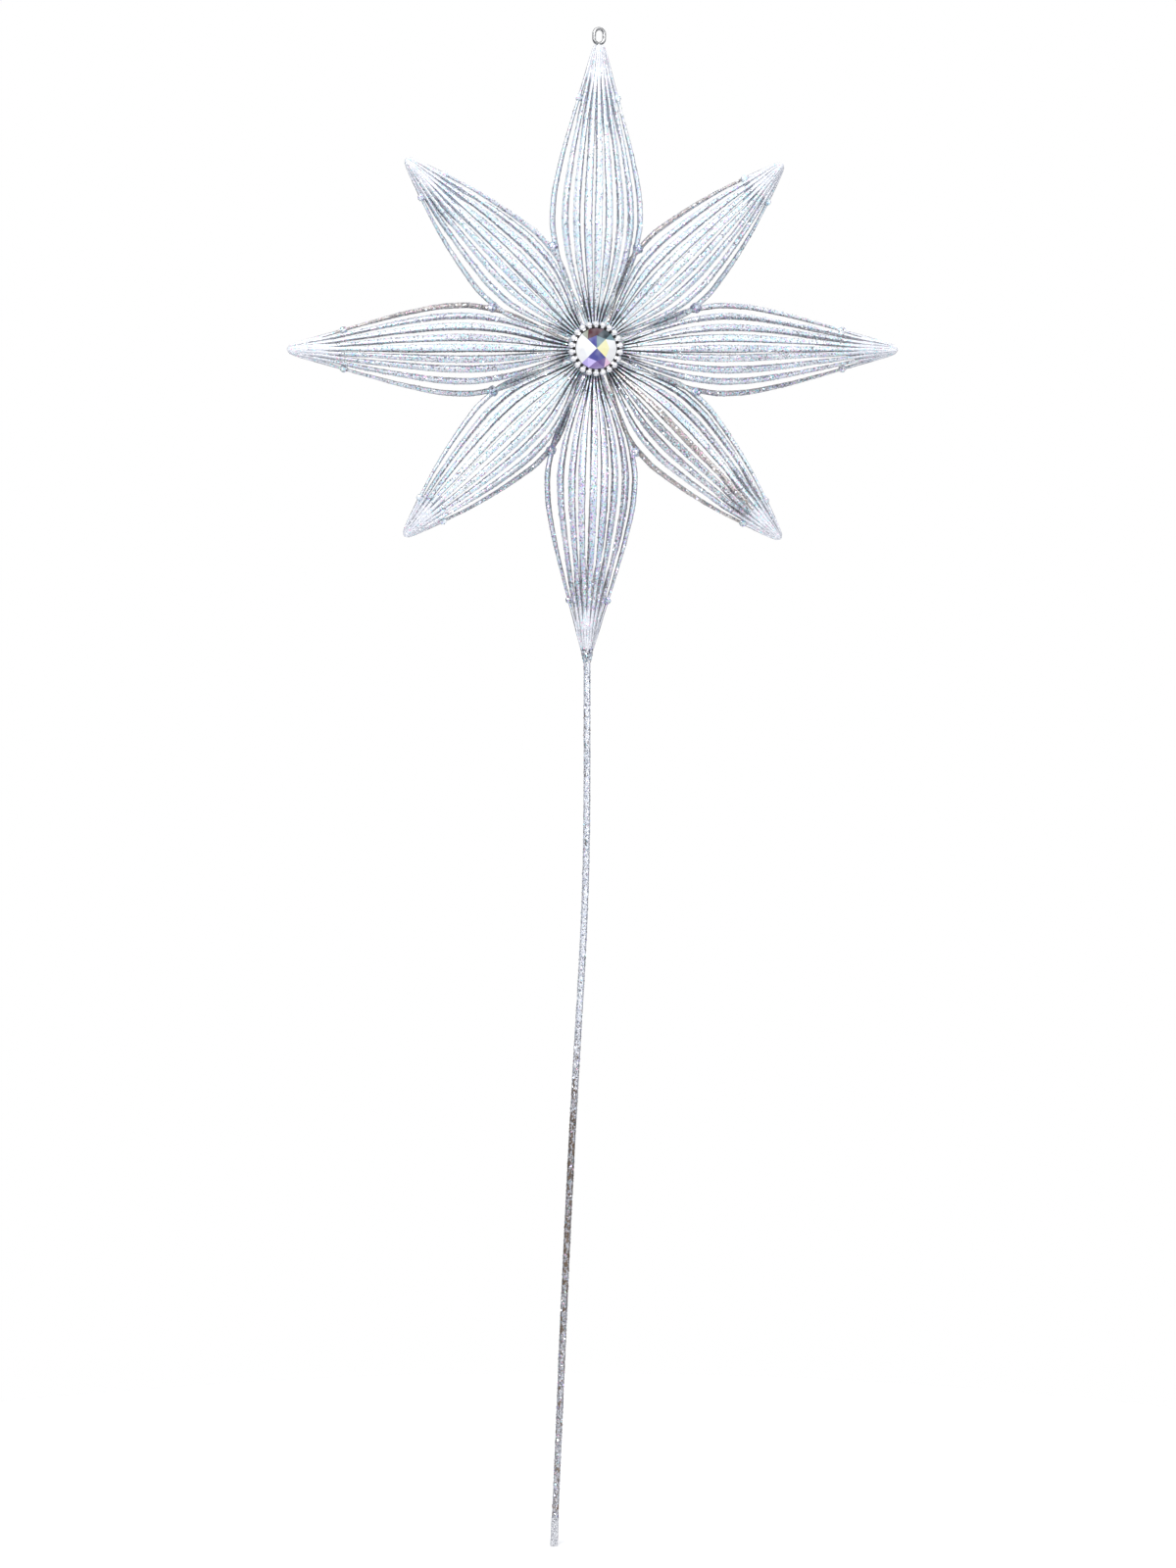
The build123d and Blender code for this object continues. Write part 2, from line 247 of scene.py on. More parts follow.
def add_cap(shape, loop, outwards):
    """One flat face that closes an end, looking along outwards."""
    order = np.arange(len(loop))
    area = np.cross(loop - loop[0], np.roll(loop, -1, axis=0) - loop[0]).sum(0)
    shape.add(loop, [order if area @ outwards > 0 else order[::-1]], COAT, False)


def add_rib(shape, centres, across, out, half_across, half_out, coat, plain_from):
    """A rib of superellipse section, with its coat on top and darker flanks and inside, both painted shade.
    From ring plain_from on it is plain, its flanks in the tip's darker coat. Returns its quads' corners,
    normals, areas and how squarely each looks out."""
    angle = np.linspace(0, 2 * np.pi, RIB_SIDES, endpoint=False) + np.pi / RIB_SIDES
    x, y = (np.sign(v) * np.abs(v) ** 0.6 for v in (np.cos(angle), np.sin(angle)))
    points = (
        centres[:, None]
        + across * (x[:, None] * half_across[:, None, None])
        + out * (y[:, None] * half_out[:, None, None])
    )
    flat = points.reshape(-1, 3)
    inside = np.repeat(centres[:-1], RIB_SIDES, axis=0)
    faces, corner, normal = outward_quads(flat, tube_faces(len(centres), RIB_SIDES), inside)
    level = (unit(normal) * out).sum(1)
    plain = np.repeat(np.arange(len(centres) - 1) >= plain_from, RIB_SIDES)
    # Faces turned sideways take the darker flank coat and faces turned inwards the insides' coat: painted
    # shade.
    top, flank = np.where(plain, TIP, coat), np.where(plain, TIP_SHADE, FLANKS)
    shape.add(flat, faces, np.where(level < INNER_LEVEL, SHADED_INSIDE, np.where(level < TOP_LEVEL, flank, top)))
    add_cap(shape, flat[:RIB_SIDES], centres[0] - centres[1])
    add_cap(shape, flat[-RIB_SIDES:], centres[-1] - centres[-2])
    return corner, unit(normal), np.linalg.norm(normal, axis=1) / 2, level


def scatter(shape, surfaces, count, random, materials, weights, radius=FLAKE, tilt=0.35, keep=None):
    """Glitter: small hexagonal flakes, each a shallow closed pyramid whose point is sunk in the surface.
    surfaces hold quads' corners, normals and areas, and their levels for keep, which thins the flakes."""
    corner = np.concatenate([s[0] for s in surfaces])
    normal = np.concatenate([s[1] for s in surfaces])
    area = np.concatenate([s[2] for s in surfaces])
    if keep is not None:
        level = np.concatenate([s[3] for s in surfaces])
        area = area * keep(corner.mean(1), level)
    pick = random.choice(len(area), count, p=area / area.sum())
    u, v = random.random((2, count, 1))
    a, b, c, d = (corner[pick, i] for i in range(4))
    place = a * (1 - u) * (1 - v) + b * u * (1 - v) + c * u * v + d * (1 - u) * v
    up = unit(normal[pick] + random.normal(0, tilt, (count, 3)))
    side = unit(np.cross(up, random.normal(0, 1, (count, 3))))
    other = np.cross(up, side)
    size = radius * random.uniform(0.6, 1.25, (count, 1))
    turn = np.arange(6)[:, None] * np.pi / 3
    spoke = side[:, None] * np.cos(turn) + other[:, None] * np.sin(turn)
    rim = place[:, None] + spoke * size[:, None] + up[:, None] * (0.10 * radius)
    point = place - up * (0.5 * radius)
    base = np.arange(count)[:, None] * 7
    chosen = random.choice(materials, count, p=np.array(weights) / np.sum(weights))
    points = np.concatenate([rim, point[:, None]], axis=1).reshape(-1, 3)
    shape.add(points, base + np.arange(6), chosen, False)
    sides = [base + np.array([(i + 1) % 6, i, 6]) for i in range(6)]
    shape.add_faces(np.concatenate(sides), np.tile(chosen, 6), False)


# ---- Materials ------------------------------------------------------------------------


class Nodes:
    """Short calls for building one material's node tree."""

    def __init__(self, name, **sockets):
        self.material = bpy.data.materials.new(name)
        self.material.use_nodes = True
        self.tree = self.material.node_tree
        self.bsdf = self.tree.nodes["Principled BSDF"]
        for socket, value in sockets.items():
            self.bsdf.inputs[socket.replace("_", " ")].default_value = value
        self.place = self.tree.nodes.new("ShaderNodeTexCoord").outputs["Object"]

    def node(self, kind, **settings):
        made = self.tree.nodes.new(kind)
        for key, value in settings.items():
            setattr(made, key, value)
        return made

    def link(self, a, b):
        self.tree.links.new(a, b)

    def cells(self, size_mm):
        """Voronoi cells of about this size: (random colour, distance)."""
        made = self.node("ShaderNodeTexVoronoi")
        made.inputs["Scale"].default_value = 1 / (size_mm * MM)
        self.link(self.place, made.inputs["Vector"])
        return made.outputs["Color"], made.outputs["Distance"]

    def noise(self, size_mm, detail=2.0, place=None):
        made = self.node("ShaderNodeTexNoise")
        made.inputs["Scale"].default_value = 1 / (size_mm * MM)
        made.inputs["Detail"].default_value = detail
        self.link(place or self.place, made.inputs["Vector"])
        return made.outputs["Fac"]

    def ramp(self, source, stops, steps=False):
        made = self.node("ShaderNodeValToRGB")
        made.color_ramp.interpolation = "CONSTANT" if steps else "LINEAR"
        elements = made.color_ramp.elements
        while len(elements) < len(stops):
            elements.new(1.0)
        for element, (at, colour) in zip(elements, stops):
            element.position = at
            element.color = (*colour, 1.0)
        self.link(source, made.inputs["Fac"])
        return made.outputs["Color"]

    def mix(self, share, a, b):
        made = self.node("ShaderNodeMix", data_type="RGBA")  # its colours are inputs 6 and 7, output 2
        for value, socket in ((share, made.inputs[0]), (a, made.inputs[6]), (b, made.inputs[7])):
            if isinstance(value, (int, float)):
                socket.default_value = value
            elif isinstance(value, tuple):
                socket.default_value = (*value, 1.0)
            else:
                self.link(value, socket)
        return made.outputs[2]

    def spread(self, source, low, high, from_low=0.0, from_high=1.0):
        made = self.node("ShaderNodeMapRange")
        self.link(source, made.inputs["Value"])
        ends = {"From Min": from_low, "From Max": from_high, "To Min": low, "To Max": high}
        for socket, value in ends.items():
            made.inputs[socket].default_value = value
        return made.outputs["Result"]

    def split(self, colour, channel):
        made = self.node("ShaderNodeSeparateColor")
        self.link(colour, made.inputs["Color"])
        return made.outputs[channel]

    def bump(self, height, strength, distance_mm):
        made = self.node("ShaderNodeBump")
        made.inputs["Strength"].default_value = strength
        made.inputs["Distance"].default_value = distance_mm * MM
        self.link(height, made.inputs["Height"])
        self.link(made.outputs["Normal"], self.bsdf.inputs["Normal"])


HUB_SHADOW = 14 * MM  # painted shade near the hub: within this distance of its centre the coat is painted near black


def glitter(name, light, shade, flecks, metallic=0.35, size=0.55, roughness=(0.18, 0.5), shade_near_hub=None):
    """Fine glitter on plastic: cells of random tint, in soft patches of light and shade. flecks are
    (share of the cells, colour) pairs. Up to shade_near_hub millimetres from the hub the colour is darkened
    to near black as painted shade."""
    n = Nodes(name, Metallic=metallic, Coat_Weight=0.35, Coat_Roughness=0.18)
    cell, distance = n.cells(size)
    patch = n.noise(14.0, 3.0)
    body = n.mix(n.spread(patch, 0.0, 1.0, 0.35, 0.68), shade, light)
    first_fleck = 1 - sum(share for share, _ in flecks)
    chance = n.split(cell, "Red")
    stops, start = [], first_fleck
    for share, colour in flecks:
        stops.append((start, colour))
        start += share
    stops[0] = (0.0, flecks[0][1])
    fleck = n.ramp(chance, stops, steps=True)
    is_fleck = n.ramp(chance, [(0.0, (0, 0, 0)), (first_fleck, (1, 1, 1))], steps=True)
    tint = n.mix(n.spread(n.split(cell, "Green"), 0.0, 0.35), body, (1.0, 1.0, 1.0))
    colour = n.mix(is_fleck, tint, fleck)
    # Painted shade: near black close to the hub, fading out by shade_near_hub millimetres.
    if shade_near_hub:
        away = n.node("ShaderNodeVectorMath", operation="DISTANCE")
        n.link(n.place, away.inputs[0])
        away.inputs[1].default_value = hub
        outside_hub_shade = n.spread(away.outputs["Value"], 0.0, 1.0, HUB_SHADOW, shade_near_hub * MM)
        colour = n.mix(outside_hub_shade, (0.035, 0.035, 0.04), colour)
    n.link(colour, n.bsdf.inputs["Base Color"])
    n.link(n.spread(n.split(cell, "Blue"), *roughness), n.bsdf.inputs["Roughness"])
    n.bump(n.mix(0.5, distance, cell), 0.55, 0.12)
    return n.material


def flake(name, colour, metallic=0.85, roughness=0.22):
    """One tint of glitter flake, with a little variation from flake to flake."""
    n = Nodes(name, Metallic=metallic, Roughness=roughness, Coat_Weight=0.5, Coat_Roughness=0.08)
    cell, _ = n.cells(1.1)
    darker = tuple(0.78 * channel for channel in colour)
    n.link(n.mix(n.split(cell, "Red"), darker, colour), n.bsdf.inputs["Base Color"])
    return n.material


SILVER, ICE, PINK = (0.86, 0.88, 0.93), (0.66, 0.76, 0.93), (0.95, 0.52, 0.72)
CYAN, GREEN, VIOLET = (0.42, 0.86, 0.93), (0.55, 0.92, 0.66), (0.58, 0.48, 0.95)
SMOKE, UMBER, WHITE = (0.17, 0.17, 0.19), (0.16, 0.10, 0.07), (0.97, 0.97, 1.0)

flakes = [
    flake("flake_silver", SILVER),
    flake("flake_ice", ICE),
    flake("flake_pink", PINK),
    flake("flake_cyan", CYAN),
    flake("flake_green", GREEN),
    flake("flake_violet", VIOLET),
    flake("flake_smoke", SMOKE, metallic=0.6, roughness=0.35),
    flake("flake_umber", UMBER, metallic=0.4, roughness=0.4),
    flake("flake_white", WHITE, metallic=0.2, roughness=0.3),
]
# Shares of the flakes: silver, ice, pink, cyan, green, violet, smoke, umber, white
PALE_TINTS = (5, 4, 0.5, 1.2, 0.3, 0.8, 0.5, 0.1, 4)
GREY_TINTS = (5, 4, 1.0, 1.5, 0.4, 0.9, 2.0, 0.6, 2.5)
BRIGHT_TINTS = (4, 3, 2.6, 2.2, 1.0, 2.4, 1.4, 0.3, 2)

FLECKS = [(0.025, SMOKE), (0.03, PINK), (0.09, CYAN), (0.015, GREEN), (0.04, VIOLET), (0.12, WHITE)]
SIDE_FLECKS = [(0.05, PINK), (0.07, CYAN), (0.04, VIOLET), (0.10, WHITE)]
coat_pale = glitter("petal_coat_pale", (0.96, 0.985, 1.0), (0.70, 0.84, 0.95), FLECKS, metallic=0.15)
coat_grey = glitter(
    "petal_coat_grey", (0.66, 0.66, 0.70), (0.34, 0.34, 0.39), [(0.20, SMOKE)] + FLECKS[1:],
)
coat_silver = glitter(
    "petal_coat_silver", (0.82, 0.84, 0.90), (0.54, 0.57, 0.66), [(0.07, SMOKE)] + FLECKS[1:], metallic=0.25,
)
coat_bright = glitter(
    "petal_coat_bright", (0.93, 0.95, 1.0), (0.60, 0.72, 0.88),
    [(0.05, SMOKE), (0.08, PINK), (0.08, CYAN), (0.04, GREEN), (0.09, VIOLET), (0.08, WHITE)],
)
coat_beige = glitter(
    "petal_coat_beige", (0.60, 0.54, 0.49), (0.33, 0.28, 0.25), [(0.18, SMOKE), (0.10, WHITE), (0.04, PINK)],
)
# The ribs' flank coats, darker than their tops: painted shade on the sides that turn from the light.
# deep_side, on the lower petals, is the darker.
deep_side = glitter(
    "petal_deep_side", (0.34, 0.35, 0.41), (0.10, 0.10, 0.13),
    [(0.20, SMOKE), (0.05, PINK), (0.06, CYAN), (0.04, VIOLET), (0.10, WHITE)],
    metallic=0.3, shade_near_hub=85,
)
rib_side = glitter(
    "petal_rib_side", (0.38, 0.41, 0.50), (0.13, 0.14, 0.19), [(0.14, SMOKE)] + SIDE_FLECKS,
    metallic=0.3, shade_near_hub=48,
)
# The insides' coats, greyer than the outer coats: painted shade inside the cages.
inside_pale = glitter(
    "petal_inside_pale", (0.88, 0.92, 0.98), (0.62, 0.68, 0.80),
    [(0.10, SMOKE), (0.05, PINK), (0.07, CYAN), (0.12, WHITE)], metallic=0.2, shade_near_hub=36,
)
inside_grey = glitter(
    "petal_inside_grey", (0.56, 0.55, 0.56), (0.28, 0.275, 0.29),
    [(0.18, SMOKE), (0.05, PINK), (0.05, CYAN), (0.10, WHITE)], metallic=0.25, shade_near_hub=58,
)
coat_tip = glitter(
    "petal_tip", (0.86, 0.88, 0.94), (0.66, 0.69, 0.79), [(0.03, CYAN), (0.02, PINK), (0.20, WHITE)],
    metallic=0.1,
)
# A darker coat for the flanks of the plain ribs at the tip: painted shade that draws dark lines between
# them.
tip_shade = glitter(
    "petal_tip_line", (0.34, 0.35, 0.40), (0.18, 0.185, 0.22), [(0.06, SMOKE), (0.06, WHITE)], metallic=0.2,
)

# ---- Petals ---------------------------------------------------------------------------
# Material slots of a petal. The flakes follow them.
COAT, SHADED_INSIDE, FLANKS, GREY, BEIGE, SILVERY, PALER, TIP, TIP_SHADE, FIRST_FLAKE = range(10)
shared_coats = (coat_grey, coat_beige, coat_silver, coat_pale, coat_tip, tip_shade)
# Each petal's coat, the darker coats of its insides and of its ribs' flanks (painted shade), its flakes'
# tints, and its ribs with another coat.
looks = {
    "top": (coat_pale, inside_pale, rib_side, PALE_TINTS, {}),
    "top_right": (coat_pale, inside_pale, rib_side, PALE_TINTS, {8: BEIGE, 1: SILVERY}),
    "right": (coat_silver, inside_grey, rib_side, GREY_TINTS, {0: GREY, 8: SILVERY, 5: PALER}),
    "bottom_right": (
        coat_silver, inside_grey, deep_side, GREY_TINTS,
        {0: BEIGE, 1: SILVERY, 2: GREY, 3: GREY, 4: BEIGE, 5: PALER, 7: PALER, 8: PALER},
    ),
    "bottom": (coat_bright, inside_grey, deep_side, BRIGHT_TINTS, {}),
    "bottom_left": (coat_pale, inside_pale, deep_side, GREY_TINTS, {8: GREY, 7: SILVERY}),
    "left": (coat_silver, inside_grey, rib_side, GREY_TINTS, {8: SILVERY, 0: BEIGE, 4: PALER, 2: PALER}),
    "top_left": (coat_pale, inside_pale, rib_side, PALE_TINTS, {0: SILVERY}),
}
TOP_FLAKES, SIDE_FLAKES = 1900, 1700  # on each half
FLANK_TINTS = (3, 2, 1.2, 1.0, 0.5, 1.2, 5, 1.6, 1.2)  # tints of the flakes on the ribs' flanks, heavy in smoke to add to their painted shade


def petal(name, side, random):
    """The front (side 1) or back (side -1) half of one petal, as ribs that run into a solid tip."""
    node = f"{'front' if side > 0 else 'back'}_petal_{name}"
    points = (node_points(node) - hub) / MM
    distance = np.hypot(points[:, 0], points[:, 2])
    reach = distance.max()
    along = unit(points[distance > 0.9 * reach].mean(0) * (1, 0, 1))
    lateral, facing = np.cross(front, along), front * side
    origin = hub / MM
    kind = "long" if name in LONG_PETALS else "short"
    outline = smooth_curve(OUTLINES[kind])
    start, full = OUTLINES[kind][0][0], OUTLINES[kind][-1][0]
    length = min(full, reach)
    s = start + (length - start) * np.linspace(0, 1, RIB_STEPS)
    half_width = outline(s)
    spacing = half_width * 2 / (RIB_COUNT - 1)
    run_in = step_up(s / full, TIP_FROM, TIP_FULL)
    width = spacing * (RIB_SHARE[side] + (TIP_SHARE - RIB_SHARE[side]) * run_in)
    depth = np.minimum(np.maximum(RIB_DEPTH * width, LEAST_DEPTH), 0.5 * half_width + 0.2)
    edge_thick = np.minimum(width, EDGE_THICKEST) / 2 * 0.95
    loose = step_up(s, start, start + LEAN_GROWS) * (1 - step_up(s / full, LOOSE_TO, TIP_FROM))
    plain_from = int(np.searchsorted(s, PLAIN_FROM * full))
    coat_of_petal, shaded_inside, flanks, tint_weights, other_coats = looks[name]
    shape, surfaces = Shape(), []
    for rib in range(RIB_COUNT):
        a = 1 - 2 * rib / (RIB_COUNT - 1)  # where the rib sits across the cage's oval section, 1 to -1
        f = DEPTH_SHARE * math.sqrt(max(0.0, 1 - a * a))  # and how far off the middle plane
        spread = math.hypot(a, f)
        out = unit(lateral * -a + front * (side * f))
        across = np.cross(along, out)
        grain = 1 + GRAIN * random.uniform(-1, 1, len(s))
        drift = wobble(s, WAVE_LENGTH, random) * WAVE * step_up(s, start, start + WAVE_GROWS)
        drift = drift + random.uniform(-LEAN[side], LEAN[side]) * loose
        centre_off = half_width * spread - depth / 2
        centres = origin + along * s[:, None] + out * centre_off[:, None]
        if side < 0:
            gap = 2 * centre_off * f / spread  # between this rib and its front one
            centres = centres + lateral * ((BACK_SHIFT @ lateral) * gap * loose)[:, None]
        half_across, half_out = width / 2 * grain, depth / 2 * grain
        coat = other_coats.get(rib, COAT)
        if rib in (0, RIB_COUNT - 1):
            surfaces.append(add_edge(shape, centres, out, facing, half_out, edge_thick, coat, plain_from))
        else:
            centres = centres + across * drift[:, None]
            surfaces.append(add_rib(shape, centres, across, out, half_across, half_out, coat, plain_from))
    add_tip(shape, origin, along, lateral, facing, outline, length, full)
    surfaces += add_lugs(shape, origin, along, lateral, facing, outline, full - LUG_SETBACK[kind])
    add_tenon(shape, origin, along, lateral, facing, start)
    plain_at = origin @ along + PLAIN_FROM * full

    def on_tops(middle, level):
        bare = step_up(middle @ along, plain_at - 12, plain_at + 6)
        return (level > TOP_LEVEL) * (1.0 - 0.97 * bare)

    def on_flanks(middle, level):
        share = np.where(level > TOP_LEVEL, 0.0, np.where(level < INNER_LEVEL, 0.35, 1.0))
        return share * (middle @ along < plain_at - 8)

    tints = np.arange(len(flakes)) + FIRST_FLAKE
    scatter(shape, surfaces, TOP_FLAKES, random, tints, tint_weights, keep=on_tops)
    scatter(shape, surfaces, SIDE_FLAKES, random, tints, FLANK_TINTS, keep=on_flanks)
    piece = shape.build(f"{node}_glittered", [coat_of_petal, shaded_inside, flanks, *shared_coats, *flakes])
    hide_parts(node)
    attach(piece, "flower")


def add_edge(shape, centres, out, facing, half_out, thick, coat, plain_from):
    """Half of an edge rib: rounded outside, flat where the two halves meet. Returns what add_rib does."""
    angle = np.linspace(0, np.pi, EDGE_SIDES - 1)
    section = np.append(np.stack([np.cos(angle), SEAM + np.sin(angle)], 1), [[0.0, SEAM]], axis=0)
    points = (
        centres[:, None]
        + out * (section[:, :1] * half_out[:, None, None])
        + facing * (section[:, 1:] * thick[:, None, None])
    )
    flat = points.reshape(-1, 3)
    inside = np.repeat((centres + facing * (0.4 * thick)[:, None])[:-1], EDGE_SIDES, axis=0)
    faces, corner, normal = outward_quads(flat, tube_faces(len(centres), EDGE_SIDES), inside)
    toward = (unit(normal) * out).sum(1)
    level = np.abs(unit(normal) @ facing)
    plain = np.repeat(np.arange(len(centres) - 1) >= plain_from, EDGE_SIDES)
    # Faces turned aside take the darker flank coat, a painted shade outline, and inward faces the insides'
    # coat, also painted shade.
    top, flank = np.where(plain, TIP, coat), np.where(plain, TIP_SHADE, FLANKS)
    on_flank = level < np.where(plain, PLAIN_EDGE_TOP, EDGE_TOP)
    shape.add(flat, faces, np.where(toward < EDGE_INNER, SHADED_INSIDE, np.where(on_flank, flank, top)))
    add_cap(shape, flat[:EDGE_SIDES], centres[0] - centres[-1])
    add_cap(shape, flat[-EDGE_SIDES:], centres[-1] - centres[0])
    outer = (unit(normal) @ facing) > -0.5  # not the flat face between the halves
    area = np.linalg.norm(normal, axis=1) / 2 * outer
    rank = np.where(toward < EDGE_INNER, -1.0, np.where(level < EDGE_TOP, 0.0, 1.0))
    return corner, unit(normal), area, rank


def add_tip(shape, origin, along, lateral, facing, outline, length, full):
    """The solid tip that fills between the ribs."""
    steps, sides = 36, 14
    s = np.linspace(full - CORE_FROM, length, steps)
    half = outline(s) * CORE_FILL * step_up(s, s[0], full - CORE_FULL) + 0.05
    angle = np.linspace(0, np.pi, sides)
    lift = SEAM + np.sin(angle) * DEPTH_SHARE * 1.02
    points = (
        origin
        + along * s[:, None, None]
        + lateral * (np.cos(angle)[:, None] * half[:, None, None])
        + facing * (lift[:, None] * half[:, None, None])
    )
    flat = points.reshape(-1, 3)
    middle = origin + along * s[:, None] + facing * (0.4 * DEPTH_SHARE * half)[:, None]
    faces, _, _ = outward_quads(flat, tube_faces(steps, sides), np.repeat(middle[:-1], sides, axis=0))
    shape.add(flat, faces, TIP)
    add_cap(shape, flat[:sides], -along)
    add_cap(shape, flat[-sides:], along)


def add_lugs(shape, origin, along, lateral, facing, outline, at):
    """Rounded discs beside the tip, where the two halves are pegged together."""
    sides = 16
    rounds = ((1.0, 0.02), (1.0, 0.75), (0.86, 0.95), (0.45, 1.0))  # shares of the radius and thickness
    turn = np.arange(sides)[:, None] * 2 * np.pi / sides
    ring = along * np.cos(turn) + lateral * np.sin(turn)
    surfaces = []
    for hand in (1, -1):
        centre = origin + along * at + lateral * (hand * (outline(np.array([at]))[0] - LUG_INSET))
        flat = np.concatenate([
            centre + ring * (radius * LUG_RADIUS) + facing * (height * LUG_THICKNESS)
            for radius, height in rounds
        ])
        faces, corner, normal = outward_quads(flat, tube_faces(len(rounds), sides), centre)
        shape.add(flat, faces, COAT)
        add_cap(shape, flat[:sides], -facing)
        add_cap(shape, flat[-sides:], facing)
        weight = 3 * np.linalg.norm(normal, axis=1)  # six times as many flakes as on the ribs
        surfaces.append((corner, unit(normal), weight, np.ones(len(faces))))
    return surfaces


def add_tenon(shape, origin, along, lateral, facing, start):
    """The tongue that the hub holds."""
    reach, half_width, thickness = (start - 3.0, start + 1.5), 2.0, (0.05, 2.0)
    corners = np.array([
        origin + along * a + lateral * b + facing * c
        for a in reach for b in (-half_width, half_width) for c in thickness
    ])
    faces = [(0, 1, 3, 2), (4, 6, 7, 5), (0, 4, 5, 1), (2, 3, 7, 6), (0, 2, 6, 4), (1, 5, 7, 3)]
    shape.add(corners, convex_faces(corners, faces), COAT, False)


for index, name in enumerate(petal_names):
    for side in (1, -1):
        petal(name, side, np.random.default_rng(100 + 2 * index + (side < 0)))

# ---- Setting, beads and stone ------------------------------------------------------------
stone_low, stone_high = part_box("centre_stone")
stone_radius = (stone_high.x - stone_low.x) / 2 / MM
BEADS, BEAD_RADIUS = 22, 1.65
BEAD_ROWS, BEAD_SIDES = 10, 16


def around_hub(radius, y, turn):
    """Points at this radius about the hub's axis, clockwise from the top as seen from the front."""
    turn = np.asarray(turn, float)
    x, z = hub[0] / MM + radius * np.sin(turn), hub[2] / MM + radius * np.cos(turn)
    return np.stack([x, np.full(turn.shape, y), z], -1)


def bright_metal():
    n = Nodes("setting_bright", Metallic=0.4, Coat_Weight=0.4, Coat_Roughness=0.05)
    colour = n.ramp(n.noise(3.0, 3.0), [(0.3, (0.84, 0.84, 0.87)), (0.7, (0.98, 0.98, 1.0))])
    n.link(colour, n.bsdf.inputs["Base Color"])
    n.link(n.spread(n.noise(1.2), 0.06, 0.22), n.bsdf.inputs["Roughness"])
    n.bump(n.noise(0.8), 0.15, 0.1)
    return n.material


# Near-black metal: painted shade on the setting behind and between the beads.
def bead_gap_shade():
    n = Nodes("setting_bead_gap_shade", Metallic=0.7)
    colour = n.ramp(n.noise(1.6, 3.0), [(0.35, (0.012, 0.011, 0.012)), (0.75, (0.09, 0.085, 0.085))])
    n.link(colour, n.bsdf.inputs["Base Color"])
    n.link(n.spread(n.noise(0.9), 0.3, 0.6), n.bsdf.inputs["Roughness"])
    return n.material


def unit_ball(rows, sides):
    """A ball of radius 1: its points, its quads, and the triangles at its two poles."""
    rise = np.linspace(-np.pi / 2, np.pi / 2, rows)[1:-1]
    turn = np.arange(sides) * 2 * np.pi / sides
    ring = np.stack([np.cos(turn), np.zeros(sides), np.sin(turn)], 1)
    body = ring * np.cos(rise)[:, None, None] + np.array([0, 1, 0]) * np.sin(rise)[:, None, None]
    points = np.concatenate([body.reshape(-1, 3), [[0, -1, 0], [0, 1, 0]]])
    first = np.arange(sides)
    last = first + (rows - 3) * sides
    low, high = np.full(sides, len(points) - 2), np.full(sides, len(points) - 1)
    poles = [np.stack([first, np.roll(first, -1), low], 1), np.stack([high, np.roll(last, -1), last], 1)]
    return points, tube_faces(rows - 2, sides)[:, ::-1], np.concatenate(poles)


def build_setting():
    """A cup with a rolled rim, painted near black except on the rim under the beads that stand round it:
    painted shade behind and between the beads.
    """
    low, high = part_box("stone_setting")
    back, rim = high.y / MM, low.y / MM
    bore, edge, wall = 2.1, 12.6, stone_radius + 0.1
    cup = [  # radius and y, from the back's bore round the outside and rim to the inside
        (bore, back), (edge - 0.6, back), (edge, back - 0.4), (edge, back - 1.2), (wall + 1.4, back - 1.6),
        (wall + 1.4, rim + 1.3), (wall + 1.1, rim + 0.6), (wall + 0.5, rim + 0.3), (wall + 0.1, rim + 0.5),
        (wall, rim + 1.0), (wall, back - 1.2), (bore, back - 1.2),
    ]
    rim_rows = slice(6, 10)
    sides = 4 * BEADS  # a bead stands on every fourth edge, so of each four sides the middle two are between
    turn = np.arange(sides) * 2 * np.pi / sides
    # Slot dark is the near-black coat, painted shade behind and between the beads.
    bright, dark = 0, 1
    slots = np.full((len(cup), sides), dark)
    slots[rim_rows] = np.where(np.arange(sides) % 4 % 3 > 0, dark, bright)
    setting = Shape()
    setting.add(
        np.concatenate([around_hub(radius, y, turn) for radius, y in cup]),
        np.concatenate([tube_faces(len(cup), sides), join_ends(len(cup), sides)]),
        slots.ravel(),
    )
    points, quads, poles = unit_ball(BEAD_ROWS, BEAD_SIDES)
    random = np.random.default_rng(2046)
    for bead in range(BEADS):
        place = around_hub(stone_radius + 0.35 + BEAD_RADIUS, rim + BEAD_RADIUS, 2 * math.pi * bead / BEADS)
        setting.add(place + points * (BEAD_RADIUS * random.uniform(0.96, 1.0)), quads, bright)
        setting.add_faces(poles, bright)
    piece = setting.build("stone_setting_beaded", [bright_metal(), bead_gap_shade()])
    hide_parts("stone_setting")
    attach(piece, "flower")


build_setting()

# Facet colours, clockwise from the top, seen from the front: inner tier, then outer tier. They are partly
# the stone's coloured coating and partly painted reflections.
NAVY, TEAL, PEARL, STRAW = (0.10, 0.10, 0.36), (0.20, 0.32, 0.36), (1.0, 1.0, 1.0), (0.98, 0.93, 0.50)
ROSE, PLUM, MAROON = (1.0, 0.66, 0.86), (0.20, 0.12, 0.38), (0.09, 0.02, 0.03)
OLIVE, COAL = (0.36, 0.38, 0.30), (0.03, 0.05, 0.06)
inner_tints = (TEAL, STRAW, STRAW, NAVY, NAVY, PEARL, PEARL, NAVY)
outer_tints = (
    MAROON, COAL, TEAL, PEARL, PEARL, PEARL, ROSE, PLUM,
    PLUM, VIOLET, PEARL, PEARL, PEARL, PEARL, OLIVE, MAROON,
)


